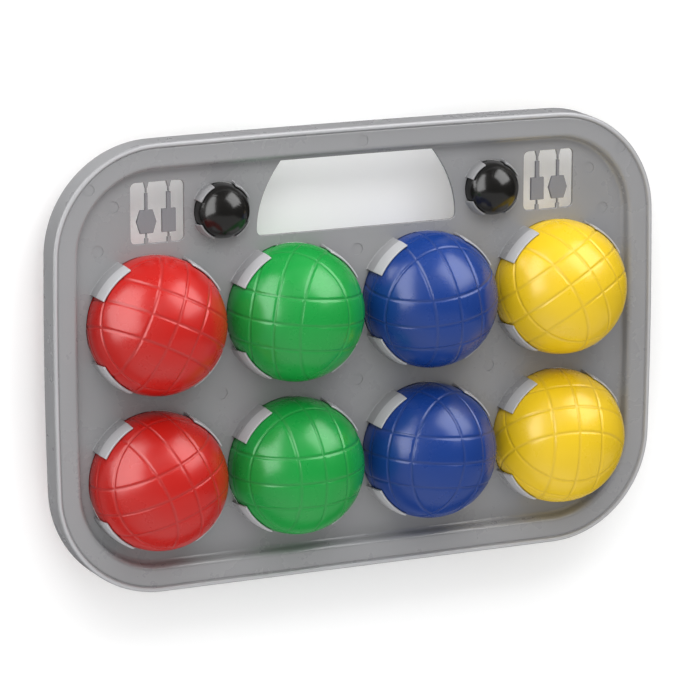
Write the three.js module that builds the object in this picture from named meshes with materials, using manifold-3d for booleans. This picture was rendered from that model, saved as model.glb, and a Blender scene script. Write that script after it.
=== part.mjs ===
// A set of eight bocce balls and two jacks, clipped into a carry tray.
//
// The tray lies on its back: X runs across it, Y runs up towards the handle, Z points out of its front.
// The origin is below the middle of the tray, on the surface that the backs of the balls rest on.
// All sizes are in millimetres.

import * as THREE from "three";
import { mergeVertices } from "three/addons/utils/BufferGeometryUtils.js";
import Module from "manifold-3d";

const wasm = await Module();
wasm.setup();

// ---- Driving dimensions ----

// Balls and jacks
const BALL_RADIUS = 37.5;
const BALL_WALL = 2.5;
const JACK_RADIUS = 15;
const GAP = 0.3; // between two pieces that touch on the real object
const FILLER_RADIUS = 4; // hole through which a ball is filled
const FILLER_TILT = THREE.MathUtils.degToRad(50); // from straight down towards the foot of the tray

// Where they sit
const COLUMN_PITCH = 80;
const ROW_PITCH = 85;
const LOWER_ROW_UP = 62; // from the foot of the tray to the middle of the lower row
const JACK_UP = 58; // from the upper row to the middle of the jacks
const JACK_ACROSS = COLUMN_PITCH; // from the middle of the tray
const JACK_CENTRE_Z = 32;

// Tray outline and section
const TRAY_WIDTH = 357;
const TRAY_HEIGHT = 246;
const CORNER_RADIUS = 60;
const RIM_WIDTH = 14.5;
const WALL = 2;
const BACK_Z = 23.5; // back edge of the skirt
const RIM_Z = 38.5; // crest of the bead around the front
const BEAD_WIDTH = 3;
const BEAD_HEIGHT = 0.8;
const PANEL_Z = 30.5; // front face of the panel

// Clips: each socket has four upright fingers, on its diagonals
const BALL_CLIP_RADIUS = BALL_RADIUS + GAP;
const BALL_CLIP_WALL = 1;
const BALL_CLIP_TOP_Z = 46.5;
const BALL_CLIP_SPAN = THREE.MathUtils.degToRad(34);
const BALL_HOLE_RADIUS = BALL_RADIUS - GAP;
const JACK_CLIP_WALL = 1.2;
const JACK_CLIP_TOP_Z = 37.5;
const JACK_CLIP_SPAN = THREE.MathUtils.degToRad(42);
const JACK_HOLE_RADIUS = JACK_RADIUS + GAP;
const JACK_CLIP_RADIUS = JACK_HOLE_RADIUS;

// Hand opening under the top rim
const GRIP_TOP_HALF = 44.5;
const GRIP_BOTTOM_HALF = 59;
const GRIP_BOTTOM_UP = 189; // from the foot of the tray
const GRIP_SIDE_BULGE = 3.6;
const GRIP_CORNER = 3.5;

// Peg windows in the two upper corners, with two break-out pegs in each
const WINDOW_WIDTH = 30.5;
const WINDOW_HEIGHT = 33;
const WINDOW_CORNER = 3;
const WINDOW_ACROSS = 116; // from the middle of the tray to the middle of the window
const WINDOW_BOTTOM_UP = 190;
const GATE_LENGTH = 3.2; // the wide foot of a gate, at the top edge of the window
const GATE_ROOT = 2.8;
const GATE_TIP = 1;
const NUB_LENGTH = 2.8; // the foot of the gate at the bottom edge
const NUB_WIDTH = 2;
const NECK_LENGTH = 2.4; // the thin part of a gate, which breaks
const NECK_WIDTH = 0.7;
const PEG_HEAD_HEIGHT = 12.5;
const HEX_PEG_WIDTH = 11.2;
const HEX_PEG_FLAT = 7.2; // the hexagon's top and bottom edges
const HEX_PEG_STEM = 1.4;
const FLAT_PEG_WIDTH = 7.8;
const FLAT_PEG_STEM = 2.2;
const HEX_PEG_OFFSET = 6.1; // each peg from the middle of its window
const FLAT_PEG_OFFSET = 6.6;

// ---- What follows from them ----

const FOOT_Y = -TRAY_HEIGHT / 2;
const TOP_Y = TRAY_HEIGHT / 2;
const BAND_Z = RIM_Z - BEAD_HEIGHT;
const PANEL_BACK_Z = PANEL_Z - WALL;
const LOWER_ROW_Y = FOOT_Y + LOWER_ROW_UP;
const UPPER_ROW_Y = LOWER_ROW_Y + ROW_PITCH;
const JACK_Y = UPPER_ROW_Y + JACK_UP;
const CLIP_ANGLES = [1, 3, 5, 7].map((eighth) => (eighth * Math.PI) / 4);
const OVERRUN = 1; // how far a cutter runs past the face that it opens
const BALL_FACETS = [20, 10]; // around and from pole to pole
const HOLLOW_FACETS = [12, 6];
const JACK_FACETS = [16, 10];
const BALL_HOLE_SIDES = 36;
const JACK_HOLE_SIDES = 28;
const FILLER_SIDES = 12;
const ARC_SEGMENTS = 8; // in each corner of an outline
const FINE_SEGMENTS = 3; // in each small arc
const ROOT = 0.5; // how far a finger or a gate is sunk into what it grows from
const WINDOW_BOTTOM_Y = FOOT_Y + WINDOW_BOTTOM_UP;
const WINDOW_TOP_Y = WINDOW_BOTTOM_Y + WINDOW_HEIGHT;
const GATE_TIP_Y = WINDOW_TOP_Y - GATE_LENGTH;
const NUB_TIP_Y = WINDOW_BOTTOM_Y + NUB_LENGTH;

const BALLS = [
  { name: "red", column: -1.5, colour: 0xd62d28 },
  { name: "green", column: -0.5, colour: 0x26a54b },
  { name: "blue", column: 0.5, colour: 0x2a4e9b },
  { name: "yellow", column: 1.5, colour: 0xf0cd32 },
];
const ROWS = [
  { name: "upper", y: UPPER_ROW_Y },
  { name: "lower", y: LOWER_ROW_Y },
];

// ---- Materials ----

function plastic(name, color, roughness) {
  return new THREE.MeshStandardMaterial({ name, color, roughness, metalness: 0 });
}

// ---- Solids ----

function toSolid(geometry) {
  const bare = geometry.clone();
  bare.deleteAttribute("normal");
  bare.deleteAttribute("uv");
  const merged = mergeVertices(bare, 1e-4);
  return new wasm.Manifold(
    new wasm.Mesh({
      numProp: 3,
      vertProperties: new Float32Array(merged.attributes.position.array),
      triVerts: new Uint32Array(merged.index.array),
    }),
  );
}

function toGeometry(solid) {
  const mesh = solid.getMesh();
  const geometry = new THREE.BufferGeometry();
  geometry.setAttribute("position", new THREE.BufferAttribute(mesh.vertProperties, 3));
  geometry.setIndex(new THREE.BufferAttribute(mesh.triVerts, 1));
  geometry.computeVertexNormals();
  return geometry;
}

function slab(shape, bottom, top, curveSegments = ARC_SEGMENTS) {
  const depth = top - bottom;
  const geometry = new THREE.ExtrudeGeometry(shape, { depth, curveSegments, bevelEnabled: false });
  return toSolid(geometry.translate(0, 0, bottom));
}

function disc(x, y, radius, bottom, top, sides) {
  const geometry = new THREE.CylinderGeometry(radius, radius, top - bottom, sides);
  geometry.rotateX(Math.PI / 2).translate(x, y, (bottom + top) / 2);
  return toSolid(geometry);
}

// A ball with its poles on the Z axis, so that it rests on a corner of its faceting.
function roundBall(radius, [around, down]) {
  return new THREE.SphereGeometry(radius, around, down).rotateX(Math.PI / 2);
}

// ---- Outlines ----

// A rounded rectangle about (x, y).
function roundedBox(x, y, width, height, radius, Outline = THREE.Shape) {
  const right = x + width / 2;
  const left = x - width / 2;
  const top = y + height / 2;
  const bottom = y - height / 2;
  return new Outline()
    .moveTo(left + radius, bottom)
    .lineTo(right - radius, bottom)
    .absarc(right - radius, bottom + radius, radius, -Math.PI / 2, 0)
    .lineTo(right, top - radius)
    .absarc(right - radius, top - radius, radius, 0, Math.PI / 2)
    .lineTo(left + radius, top)
    .absarc(left + radius, top - radius, radius, Math.PI / 2, Math.PI)
    .lineTo(left, bottom + radius)
    .absarc(left + radius, bottom + radius, radius, Math.PI, Math.PI * 1.5);
}

// The tray's outline, moved inwards by the inset.
function trayOutline(inset, Outline = THREE.Shape) {
  const width = TRAY_WIDTH - 2 * inset;
  const height = TRAY_HEIGHT - 2 * inset;
  return roundedBox(0, 0, width, height, CORNER_RADIUS - inset, Outline);
}

// The hand opening: narrow at the top, with sides that bulge outwards and rounded lower corners.
function gripOutline() {
  const top = TOP_Y - RIM_WIDTH;
  const bottom = FOOT_Y + GRIP_BOTTOM_UP;
  const bulgeX = (GRIP_TOP_HALF + GRIP_BOTTOM_HALF) / 2 + 2 * GRIP_SIDE_BULGE;
  const bulgeY = (top + bottom + GRIP_CORNER) / 2;
  return new THREE.Shape()
    .moveTo(-GRIP_BOTTOM_HALF + GRIP_CORNER, bottom)
    .lineTo(GRIP_BOTTOM_HALF - GRIP_CORNER, bottom)
    .quadraticCurveTo(GRIP_BOTTOM_HALF, bottom, GRIP_BOTTOM_HALF, bottom + GRIP_CORNER)
    .quadraticCurveTo(bulgeX, bulgeY, GRIP_TOP_HALF, top)
    .lineTo(-GRIP_TOP_HALF, top)
    .quadraticCurveTo(-bulgeX, bulgeY, -GRIP_BOTTOM_HALF, bottom + GRIP_CORNER)
    .quadraticCurveTo(-GRIP_BOTTOM_HALF, bottom, -GRIP_BOTTOM_HALF + GRIP_CORNER, bottom);
}

// One finger's foot: a slice of a ring about (x, y).
function ringSlice(x, y, inner, wall, middle, span) {
  const start = middle - span / 2;
  const end = middle + span / 2;
  return new THREE.Shape()
    .absarc(x, y, inner + wall, start, end, false)
    .absarc(x, y, inner, end, start, true)
    .closePath();
}

// A bar along Y about x, with its own width at each end.
function taperedBar(x, bottomY, topY, bottomWidth, topWidth) {
  return new THREE.Shape()
    .moveTo(x - bottomWidth / 2, bottomY)
    .lineTo(x + bottomWidth / 2, bottomY)
    .lineTo(x + topWidth / 2, topY)
    .lineTo(x - topWidth / 2, topY)
    .closePath();
}

// A hexagon with its corners to the left and right, and flat edges above and below.
function hexagon(x, y, width, height, flat) {
  return new THREE.Shape()
    .moveTo(x - flat / 2, y - height / 2)
    .lineTo(x + flat / 2, y - height / 2)
    .lineTo(x + width / 2, y)
    .lineTo(x + flat / 2, y + height / 2)
    .lineTo(x - flat / 2, y + height / 2)
    .lineTo(x - width / 2, y)
    .closePath();
}

// ---- Tray ----

function fingers(x, y, radius, wall, span, top) {
  return CLIP_ANGLES.map((angle) =>
    slab(ringSlice(x, y, radius, wall, angle, span), PANEL_Z - ROOT, top, FINE_SEGMENTS),
  );
}

// Where the pegs stand: the flat-headed one towards the middle of the tray, the hexagonal one outside.
function pegPlaces() {
  return [-1, 1].map((side) => ({
    name: side < 0 ? "left" : "right",
    hex: side * (WINDOW_ACROSS + HEX_PEG_OFFSET),
    flat: side * (WINDOW_ACROSS - FLAT_PEG_OFFSET),
  }));
}

// The gates that hold one peg: a pointed foot and a thin neck from each of the window's two edges.
function gates(x) {
  const bars = [
    taperedBar(x, GATE_TIP_Y, WINDOW_TOP_Y + ROOT, GATE_TIP, GATE_ROOT),
    taperedBar(x, GATE_TIP_Y - NECK_LENGTH, GATE_TIP_Y + ROOT, NECK_WIDTH, NECK_WIDTH),
    taperedBar(x, WINDOW_BOTTOM_Y - ROOT, NUB_TIP_Y, NUB_WIDTH, NUB_WIDTH),
    taperedBar(x, NUB_TIP_Y - ROOT, NUB_TIP_Y + NECK_LENGTH, NECK_WIDTH, NECK_WIDTH),
  ];
  return bars.map((bar) => slab(bar, PANEL_BACK_Z, PANEL_Z));
}

function trayMoulding() {
  const channel = trayOutline(WALL);
  channel.holes.push(trayOutline(RIM_WIDTH - WALL, THREE.Path));
  const cuts = [
    slab(trayOutline(BEAD_WIDTH), BAND_Z, RIM_Z + OVERRUN),
    slab(trayOutline(RIM_WIDTH), PANEL_Z, RIM_Z + OVERRUN),
    slab(trayOutline(WALL), BACK_Z - OVERRUN, PANEL_BACK_Z),
    slab(channel, BACK_Z - OVERRUN, BAND_Z - WALL),
    slab(gripOutline(), PANEL_BACK_Z - OVERRUN, PANEL_Z + OVERRUN),
  ];
  const additions = [];
  for (const { column } of BALLS) {
    const x = column * COLUMN_PITCH;
    for (const { y } of ROWS) {
      cuts.push(disc(x, y, BALL_HOLE_RADIUS, PANEL_BACK_Z - OVERRUN, PANEL_Z + OVERRUN, BALL_HOLE_SIDES));
      additions.push(...fingers(x, y, BALL_CLIP_RADIUS, BALL_CLIP_WALL, BALL_CLIP_SPAN, BALL_CLIP_TOP_Z));
    }
  }
  for (const side of [-1, 1]) {
    const x = side * JACK_ACROSS;
    cuts.push(disc(x, JACK_Y, JACK_HOLE_RADIUS, PANEL_BACK_Z - OVERRUN, PANEL_Z + OVERRUN, JACK_HOLE_SIDES));
    additions.push(...fingers(x, JACK_Y, JACK_CLIP_RADIUS, JACK_CLIP_WALL, JACK_CLIP_SPAN, JACK_CLIP_TOP_Z));
    const middle = WINDOW_BOTTOM_Y + WINDOW_HEIGHT / 2;
    const opening = roundedBox(side * WINDOW_ACROSS, middle, WINDOW_WIDTH, WINDOW_HEIGHT, WINDOW_CORNER);
    cuts.push(slab(opening, PANEL_BACK_Z - OVERRUN, PANEL_Z + OVERRUN, FINE_SEGMENTS));
  }
  for (const place of pegPlaces()) {
    additions.push(...gates(place.hex), ...gates(place.flat));
  }
  let tray = slab(trayOutline(0), BACK_Z, RIM_Z);
  for (const cut of cuts) {
    tray = tray.subtract(cut);
  }
  for (const addition of additions) {
    tray = tray.add(addition);
  }
  const material = plastic("tray_grey", 0x96969b, 0.42);
  return [namedMesh("tray", toGeometry(tray), material)];
}

// ---- Pegs ----

const PEG_MIDDLE_Y = NUB_TIP_Y + NECK_LENGTH + GAP + PEG_HEAD_HEIGHT / 2;

// A peg hangs head down between its gates: a straight stem, and a head of the outline given.
function peg(x, head, stemWidth) {
  const stemTop = GATE_TIP_Y - NECK_LENGTH - GAP;
  const stem = slab(taperedBar(x, PEG_MIDDLE_Y, stemTop, stemWidth, stemWidth), PANEL_BACK_Z, PANEL_Z);
  return toGeometry(stem.add(slab(head, PANEL_BACK_Z, PANEL_Z, FINE_SEGMENTS)));
}

function pegs() {
  const material = plastic("peg_grey", 0x8c8c90, 0.45);
  return pegPlaces().flatMap(({ name, hex, flat }) => {
    const hexHead = hexagon(hex, PEG_MIDDLE_Y, HEX_PEG_WIDTH, PEG_HEAD_HEIGHT, HEX_PEG_FLAT);
    const flatHead = roundedBox(flat, PEG_MIDDLE_Y, FLAT_PEG_WIDTH, PEG_HEAD_HEIGHT, GAP);
    return [
      namedMesh("hex_headed_peg_" + name, peg(hex, hexHead, HEX_PEG_STEM), material),
      namedMesh("flat_headed_peg_" + name, peg(flat, flatHead, FLAT_PEG_STEM), material),
    ];
  });
}

// ---- Balls ----

// Turns something built around the Z axis onto the filler hole's axis.
function ontoFiller(geometry) {
  return geometry.rotateX(Math.PI - FILLER_TILT);
}

function ballShell() {
  const inner = BALL_RADIUS - BALL_WALL;
  const hole = new THREE.CylinderGeometry(FILLER_RADIUS, FILLER_RADIUS, BALL_RADIUS, FILLER_SIDES);
  hole.rotateX(Math.PI / 2).translate(0, 0, BALL_RADIUS);
  const shell = toSolid(roundBall(BALL_RADIUS, BALL_FACETS))
    .subtract(toSolid(roundBall(inner, HOLLOW_FACETS)))
    .subtract(toSolid(ontoFiller(hole)));
  return toGeometry(shell);
}

function ballFilling() {
  return roundBall(BALL_RADIUS - BALL_WALL - GAP, HOLLOW_FACETS);
}

// A round plug with a chamfered outer edge, just below the surface of the shell.
function fillerPlug() {
  const radius = FILLER_RADIUS - GAP;
  const inside = BALL_RADIUS - BALL_WALL + GAP;
  const outside = BALL_RADIUS - 0.8;
  const chamfer = 0.5;
  const profile = [
    new THREE.Vector2(0, inside),
    new THREE.Vector2(radius, inside),
    new THREE.Vector2(radius, outside - chamfer),
    new THREE.Vector2(radius - chamfer, outside),
    new THREE.Vector2(0, outside),
  ];
  return ontoFiller(new THREE.LatheGeometry(profile, FILLER_SIDES).rotateX(Math.PI / 2));
}

function balls() {
  const filling = plastic("filling", 0xb8c4cc, 0.3);
  return BALLS.flatMap(({ name, column, colour }) => {
    const shellMaterial = plastic("ball_" + name, colour, 0.3);
    return ROWS.map((row) => {
      const ball = new THREE.Group();
      const stem = name + "_ball_" + row.name;
      ball.position.set(column * COLUMN_PITCH, row.y, BALL_RADIUS);
      ball.add(namedMesh(stem + "_shell", ballShell(), shellMaterial));
      ball.add(namedMesh(stem + "_filling", ballFilling(), filling));
      ball.add(namedMesh(stem + "_plug", fillerPlug(), shellMaterial));
      return ball;
    });
  });
}

function jacks() {
  const material = plastic("jack_black", 0x1e1e1c, 0.22);
  return [-1, 1].map((side) => {
    const name = side < 0 ? "jack_left" : "jack_right";
    const jack = namedMesh(name, roundBall(JACK_RADIUS, JACK_FACETS), material);
    jack.position.set(side * JACK_ACROSS, JACK_Y, JACK_CENTRE_Z);
    return jack;
  });
}

// ---- Assembly ----

function namedMesh(name, geometry, material) {
  const mesh = new THREE.Mesh(geometry, material);
  mesh.name = name;
  return mesh;
}

const set = new THREE.Group();
set.add(...trayMoulding(), ...pegs(), ...balls(), ...jacks());

export default set;
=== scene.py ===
# %% [markdown]
# A set of eight bocce balls and two jacks, clipped into a carry tray.
#
# The tray is one thin plastic moulding. It lies on its back: X runs across it, Y runs up to the
# handle and Z comes out of its front. The balls are held by springy fingers and stand proud of the
# tray on both sides, so the whole set rests on the backs of the balls, at a height of zero.
# The first cell brings in the imported design, which says where everything is.

# %% Load the design
import math

import bmesh
import bpy
from mathutils import Euler, Matrix, Vector


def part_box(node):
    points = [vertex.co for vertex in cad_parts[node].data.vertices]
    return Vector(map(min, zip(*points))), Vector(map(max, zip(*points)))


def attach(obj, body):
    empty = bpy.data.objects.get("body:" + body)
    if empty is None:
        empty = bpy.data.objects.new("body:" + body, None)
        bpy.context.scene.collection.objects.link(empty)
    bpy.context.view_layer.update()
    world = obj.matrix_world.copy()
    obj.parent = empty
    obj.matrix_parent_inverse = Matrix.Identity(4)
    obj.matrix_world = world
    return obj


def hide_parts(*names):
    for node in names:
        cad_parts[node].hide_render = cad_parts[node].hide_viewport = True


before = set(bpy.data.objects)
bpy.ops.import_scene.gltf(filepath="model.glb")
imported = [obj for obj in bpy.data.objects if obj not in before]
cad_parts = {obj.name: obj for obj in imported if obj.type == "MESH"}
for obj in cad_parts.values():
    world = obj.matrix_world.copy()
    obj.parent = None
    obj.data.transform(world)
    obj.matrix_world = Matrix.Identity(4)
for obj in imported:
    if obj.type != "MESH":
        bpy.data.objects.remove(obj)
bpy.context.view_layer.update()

MM = 0.001

# %% [markdown]
# Camera. The set is looked at from its upper left: the view is turned to the left of the tray's
# front and raised a little towards the handle. The two angles are written as if the tray stood
# upright, which is how a person thinks of them, and a long lens keeps the eight balls alike.

# %% Place the camera
VIEW_LEFT = math.radians(24.46)
VIEW_RAISED = math.radians(13.02)
VIEW_DISTANCE = 2.032
VIEW_AIM = Vector((-0.0076, 0.0, 0.0375))
SENSOR = 36
LONG_LENS = 192.6


def add_camera():
    lens = bpy.data.cameras.new("camera")
    lens.sensor_width = SENSOR
    lens.lens = LONG_LENS
    camera = bpy.data.objects.new("camera", lens)
    bpy.context.scene.collection.objects.link(camera)
    turn = Matrix.Rotation(-VIEW_LEFT, 4, "Y") @ Matrix.Rotation(-VIEW_RAISED, 4, "X")
    backwards = turn @ Vector((0, 0, VIEW_DISTANCE))
    camera.matrix_world = Matrix.Translation(VIEW_AIM + backwards) @ turn
    bpy.context.scene.camera = camera
    return camera


camera = add_camera()
bpy.context.scene.view_settings.view_transform = "Standard"
print("camera stands at", [round(v, 3) for v in camera.matrix_world.translation])

# %% [markdown]
# Light. Every ball shows two large pale patches, so two large cards stand where those patches
# point: a tall one low on the left and a square one high on the right, above the handle. A third
# card, wide and dim, stands beyond the foot and gives the balls their lighter lower halves. Cards
# are only seen in reflections. The fills do the lighting and are never reflected, so brightness
# and gloss can be set one without the other. The world is pale, like a white studio.

# %% Light the studio
def add_soft_box(name, place, facing, width, height, power, up, in_diffuse=True, in_gloss=True):
    """A rectangular lamp. facing points from what it lights back to the lamp."""
    light = bpy.data.lights.new(name, "AREA")
    light.shape = "RECTANGLE"
    light.size = width
    light.size_y = height
    light.energy = power
    box = bpy.data.objects.new(name, light)
    bpy.context.scene.collection.objects.link(box)
    back = Vector(facing).normalized()
    right = Vector(up).cross(back).normalized()
    turn = Matrix((right, back.cross(right), back)).transposed().to_4x4()
    box.matrix_world = Matrix.Translation(place) @ turn
    box.visible_camera = False
    box.visible_diffuse = in_diffuse
    box.visible_glossy = in_gloss


def add_card(name, place, facing, size, power, up):
    """A lamp that is only seen in reflections."""
    add_soft_box(name, place, facing, *size, power, up, in_diffuse=False)


def add_fill(name, place, size, power, up, facing=None):
    """A lamp that only lights the set, without showing in reflections. It faces the set."""
    facing = place if facing is None else facing
    add_soft_box(name, place, facing, *size, power, up, in_gloss=False)


LEFT_WAY = Vector((-0.9, 0.43, 0.1))
RIGHT_WAY = Vector((0.49, 0.71, 0.5))
LEFT_CARD_UP = (0.36, 0.79, -0.51)
RIGHT_CARD_UP = (0.63, 0.04, -0.78)
CARD_AWAY = 1.2
UPRIGHT = (0, 0, 1)
TO_HANDLE = (0, 1, 0)
add_card("left_card", LEFT_WAY * CARD_AWAY, LEFT_WAY, (1.2, 1.6), 32, LEFT_CARD_UP)
add_card("right_card", RIGHT_WAY * CARD_AWAY, RIGHT_WAY, (1.0, 1.0), 16, RIGHT_CARD_UP)
# This fill shares the card's plane. It's given the same facing, to the last bit, because a rounding
# between the two planes hides part of the card from reflections.
add_fill("right_fill", RIGHT_WAY * CARD_AWAY, (1.0, 1.0), 2.0, RIGHT_CARD_UP, RIGHT_WAY)
add_fill("top_fill", (-0.1, 0.8, 0.75), (1.2, 0.5), 7, UPRIGHT)
add_fill("handle_fill", (0, 3.0, 0.5), (3.0, 0.6), 54, UPRIGHT)
add_fill("left_fill", (-0.65, 0.3, 1.1), (0.9, 0.9), 2.4, TO_HANDLE)
add_fill("foot_fill", (-0.25, -1.05, 0.5), (1.4, 0.7), 6.5, UPRIGHT)
add_card("table", (-0.3, -0.35, 0.9), (0, -1, 0), (2.2, 1.7), 6, UPRIGHT)


def pale_world(for_gloss, for_others):
    """A white world that is dark in reflections, like a white tent with gaps in it."""
    world = bpy.data.worlds.new("pale_studio")
    bpy.context.scene.world = world
    world.use_nodes = True
    tree = world.node_tree
    rays = tree.nodes.new("ShaderNodeLightPath")
    share = tree.nodes.new("ShaderNodeMapRange")
    tree.links.new(rays.outputs["Is Glossy Ray"], share.inputs["Value"])
    share.inputs["To Min"].default_value = for_others
    share.inputs["To Max"].default_value = for_gloss
    tree.nodes["Background"].inputs["Color"].default_value = (1, 1, 1, 1)
    tree.links.new(share.outputs["Result"], tree.nodes["Background"].inputs["Strength"])


pale_world(for_gloss=0.012, for_others=0.58)
print("lamps:", sorted(light.name for light in bpy.data.lights))

# %% [markdown]
# Helpers for working by hand. Every modelling step below is an operator of Blender's, and an
# operator acts on whatever is selected. So each piece starts with nothing selected, and faces,
# edges and points are then picked by where they are.

# %% Helpers for modelling
def put_down():
    """Leaves edit mode with nothing selected."""
    if bpy.context.mode != "OBJECT":
        bpy.ops.object.mode_set(mode="OBJECT")
    bpy.ops.object.select_all(action="DESELECT")


def pick_up(*pieces):
    """Selects just these pieces, and makes the first one active."""
    put_down()
    for piece in pieces:
        piece.select_set(True)
    bpy.context.view_layer.objects.active = pieces[0]
    return pieces[0]


def edit(piece):
    """Opens the piece in edit mode, with nothing selected in it."""
    pick_up(piece)
    bpy.ops.object.mode_set(mode="EDIT")
    bpy.ops.mesh.select_all(action="DESELECT")


def pick(kind, test):
    """Selects the vertices, edges or faces of the open piece that pass the test."""
    bpy.ops.mesh.select_mode(type=kind)
    bpy.ops.mesh.select_all(action="DESELECT")
    mesh = bmesh.from_edit_mesh(bpy.context.object.data)
    parts = {"VERT": mesh.verts, "EDGE": mesh.edges, "FACE": mesh.faces}[kind]
    for part in parts:
        if test(part):
            part.select_set(True)
    bmesh.update_edit_mesh(bpy.context.object.data)


def clean(piece, near=0.002 * MM):
    """Merges doubled points, turns every face outwards and puts the place into the mesh."""
    pick_up(piece)
    bpy.ops.object.transform_apply(location=True, rotation=True, scale=True)
    edit(piece)
    bpy.ops.mesh.select_all(action="SELECT")
    bpy.ops.mesh.remove_doubles(threshold=near)
    bpy.ops.mesh.normals_make_consistent(inside=False)
    put_down()
    return piece


def apply_modifier(piece, kind, **values):
    """Adds a modifier, gives it its values and makes it part of the mesh."""
    pick_up(piece)
    modifier = piece.modifiers.new(kind.lower(), kind)
    for name, value in values.items():
        setattr(modifier, name, value)
    bpy.ops.object.modifier_apply(modifier=modifier.name)
    return piece


def cut_or_join(piece, tool, operation):
    """Cuts the tool out of the piece, or joins it on, and throws the tool away."""
    apply_modifier(piece, "BOOLEAN", operation=operation, solver="MANIFOLD", object=tool)
    bpy.data.objects.remove(tool)
    return piece


def copy_of(piece, name, place):
    """A copy with its own mesh, moved by a matrix."""
    twin = piece.copy()
    twin.data = piece.data.copy()
    twin.name = name
    twin.data.transform(place)
    bpy.context.scene.collection.objects.link(twin)
    return twin


def join(pieces, name):
    """Makes one piece of many, without cutting or merging anything."""
    piece = pick_up(*pieces)
    bpy.ops.object.join()
    piece.name = name
    return piece


def smooth(piece, angle):
    """Rounds the shading of every edge flatter than the angle, in degrees."""
    pick_up(piece)
    bpy.ops.object.shade_smooth_by_angle(angle=math.radians(angle))
    apply_modifier(piece, "WEIGHTED_NORMAL", keep_sharp=True, weight=80)
    piece.data.name = piece.name
    return piece


def turned(angles):
    """A turn about X, Y and Z by three angles in degrees."""
    return Euler([math.radians(angle) for angle in angles], "XYZ").to_matrix().to_4x4()


def triangles(piece):
    piece.data.calc_loop_triangles()
    return len(piece.data.loop_triangles)


# %% [markdown]
# Outlines are drawn the way a draughtsman draws them: one point is extruded to the next, until
# the line closes. Round stretches are arcs, so that only the corners are given one by one.

# %% Helpers for outlines
def arc(centre, radius, start, end, steps):
    """Points along an arc in a plane, from the start angle to the end angle, in degrees."""
    points = []
    for step in range(steps + 1):
        angle = math.radians(start + (end - start) * step / steps)
        points.append((centre[0] + radius * math.cos(angle), centre[1] + radius * math.sin(angle)))
    return points


def rounded_box(x, y, width, height, radius, steps):
    """The outline of a box with round corners, about (x, y), going anticlockwise."""
    points = []
    for turn, (side, end) in enumerate(((1, -1), (1, 1), (-1, 1), (-1, -1))):
        corner = (x + side * (width / 2 - radius), y + end * (height / 2 - radius))
        points += arc(corner, radius, -90 + 90 * turn, 90 * turn, steps)
    return points


def draw_outline(name, points):
    """A closed line of edges in space, drawn by extruding one point from place to place."""
    put_down()
    bpy.ops.mesh.primitive_plane_add(size=MM, location=points[0])
    piece = bpy.context.object
    piece.name = name
    bpy.ops.object.mode_set(mode="EDIT")
    bpy.ops.mesh.select_mode(type="VERT")
    bpy.ops.mesh.select_all(action="SELECT")
    bpy.ops.mesh.merge(type="CENTER")
    for here, there in zip(points, points[1:]):
        step = Vector(there) - Vector(here)
        bpy.ops.mesh.extrude_vertices_move(TRANSFORM_OT_translate={"value": step})
    bpy.ops.mesh.select_all(action="DESELECT")
    mesh = bmesh.from_edit_mesh(piece.data)
    ends = [vertex for vertex in mesh.verts if len(vertex.link_edges) < 2]
    for vertex in ends:
        vertex.select_set(True)
    bmesh.update_edit_mesh(piece.data)
    bpy.ops.mesh.edge_face_add()
    bpy.ops.mesh.select_all(action="SELECT")
    return piece


# %% [markdown]
# The rim of the tray is one section carried all round a rounded rectangle: a skirt outside, a
# bead along its front edge, a crease, a flat band, a rounded inner edge and a short inner wall
# that meets the panel in a fillet. It could be a curve with a bevel profile. Here the section is
# drawn once, extruded along each straight side and spun round each corner, because that is how
# one would build it by hand, and it shows which points make which feature.

# %% Draw the rim's section
TRAY_LOW, TRAY_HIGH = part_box("tray")
HALF_WIDTH = TRAY_HIGH.x
HALF_HEIGHT = TRAY_HIGH.y
BACK_Z = TRAY_LOW.z
PANEL_Z = BACK_Z + 7 * MM
PANEL_THICK = 2 * MM
BEAD_Z = BACK_Z + 15 * MM
BAND_DROP = 1.1 * MM
BAND_Z = BEAD_Z - BAND_DROP
CORNER = 60 * MM
RIM_WIDTH = 14.5 * MM
WALL = 2 * MM
DRAFT = 0.25 * MM
EDGE = 0.4 * MM
BEAD_RADIUS = 1.4 * MM
INNER_ROUND = 2.8 * MM
PANEL_FILLET = 2.2 * MM
SUNK = 0.02 * MM


def rim_section():
    """The section as (distance in from the tray's edge, height), starting at the back edge."""
    bead = (DRAFT + BEAD_RADIUS, BEAD_Z - BEAD_RADIUS)
    crease = (bead[0] + BEAD_RADIUS + 0.25 * MM, BAND_Z - 0.4 * MM)
    inner_edge = (RIM_WIDTH - INNER_ROUND, BAND_Z - INNER_ROUND)
    fillet = (RIM_WIDTH + DRAFT + PANEL_FILLET, PANEL_Z + PANEL_FILLET - SUNK)
    channel_side = RIM_WIDTH - WALL
    channel_top = BAND_Z - WALL
    return (
        [(EDGE, BACK_Z), (0, BACK_Z + EDGE)]
        + arc(bead, BEAD_RADIUS, 180, 10, 9)
        + [crease, (crease[0] + 0.4 * MM, BAND_Z - 0.12 * MM), (crease[0] + 0.9 * MM, BAND_Z)]
        + arc(inner_edge, INNER_ROUND, 90, 4, 6)
        + arc(fillet, PANEL_FILLET, 180, 270, 5)
        + [(fillet[0], PANEL_Z - PANEL_THICK + EDGE), (channel_side + EDGE, PANEL_Z - PANEL_THICK)]
        + [(channel_side, PANEL_Z - PANEL_THICK + EDGE)]
        + [(channel_side, channel_top - WALL / 2), (channel_side - WALL / 2, channel_top)]
        + [(WALL * 1.5, channel_top), (WALL, channel_top - WALL / 2)]
        + [(WALL, BACK_Z + EDGE), (WALL - EDGE, BACK_Z)]
    )


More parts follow.
